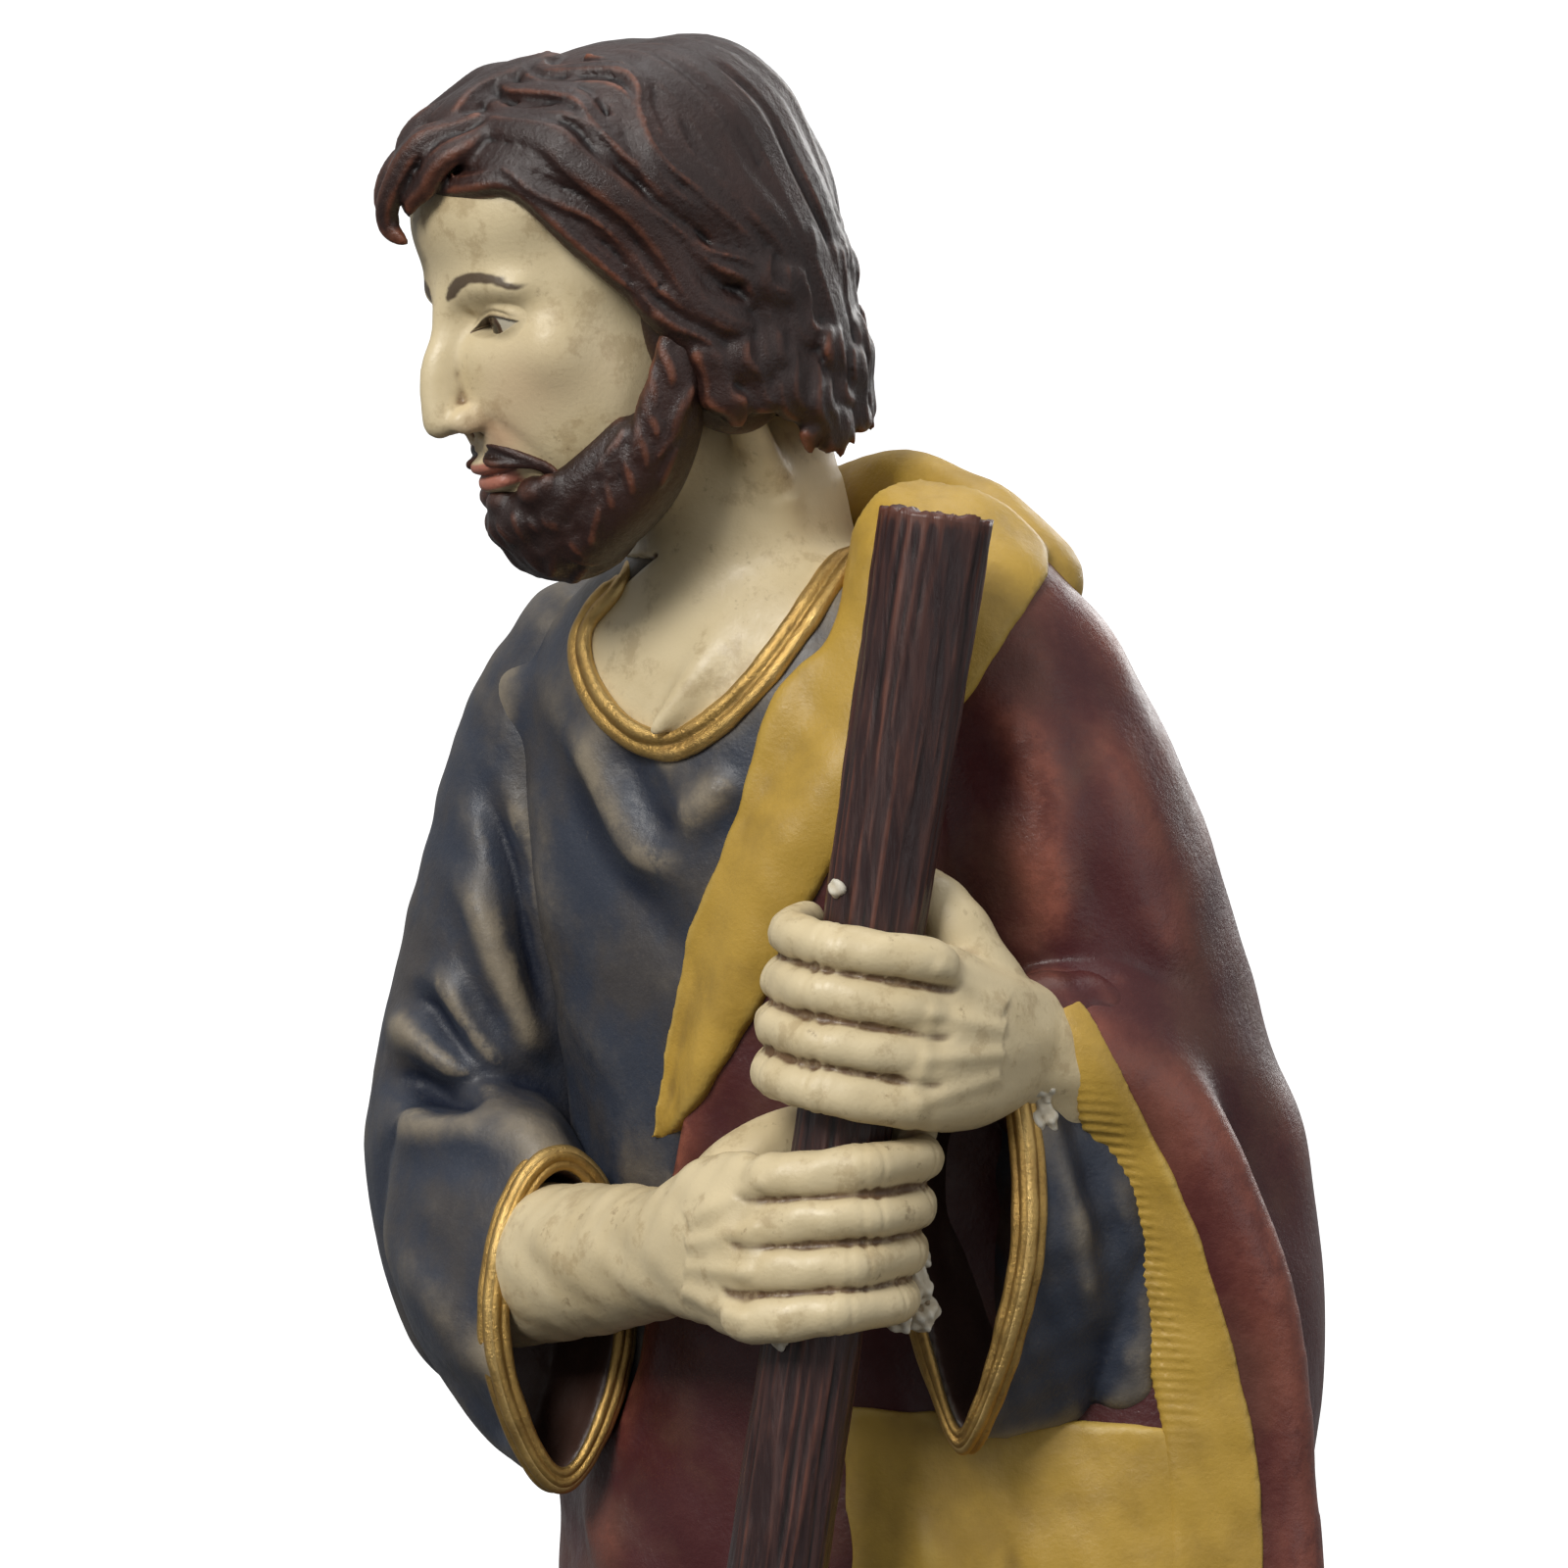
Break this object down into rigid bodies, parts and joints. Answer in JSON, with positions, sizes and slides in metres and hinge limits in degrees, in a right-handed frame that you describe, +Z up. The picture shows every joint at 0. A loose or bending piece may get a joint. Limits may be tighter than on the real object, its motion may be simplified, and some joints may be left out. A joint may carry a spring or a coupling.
{
  "type": "saint joseph statue",
  "caption": "Painted resin figure statue of a standing bearded man in robe and draped mantle, head bowed, both fists round a rough wooden staff, on a low rounded base.",
  "frame": {"origin": "centre of the flat underside of the base", "axes": "+Z up along the figure; +X to the right and +Y to the back as the picture sees it, so the head turns toward -X and the staff stands in front, toward -Y"},
  "size_m": [0.18, 0.1744, 0.5999],
  "materials": {
    "figure": "hand-painted cast resin: grey-blue robe, burgundy mantle lined in mustard yellow, gold borders, pale flesh, dark brown hair",
    "staff": "cast rod painted dark reddish brown as rough wood"
  },
  "bodies": {
    "root": {"figure": "figure", "staff": "staff"}
  },
  "joints": []
}
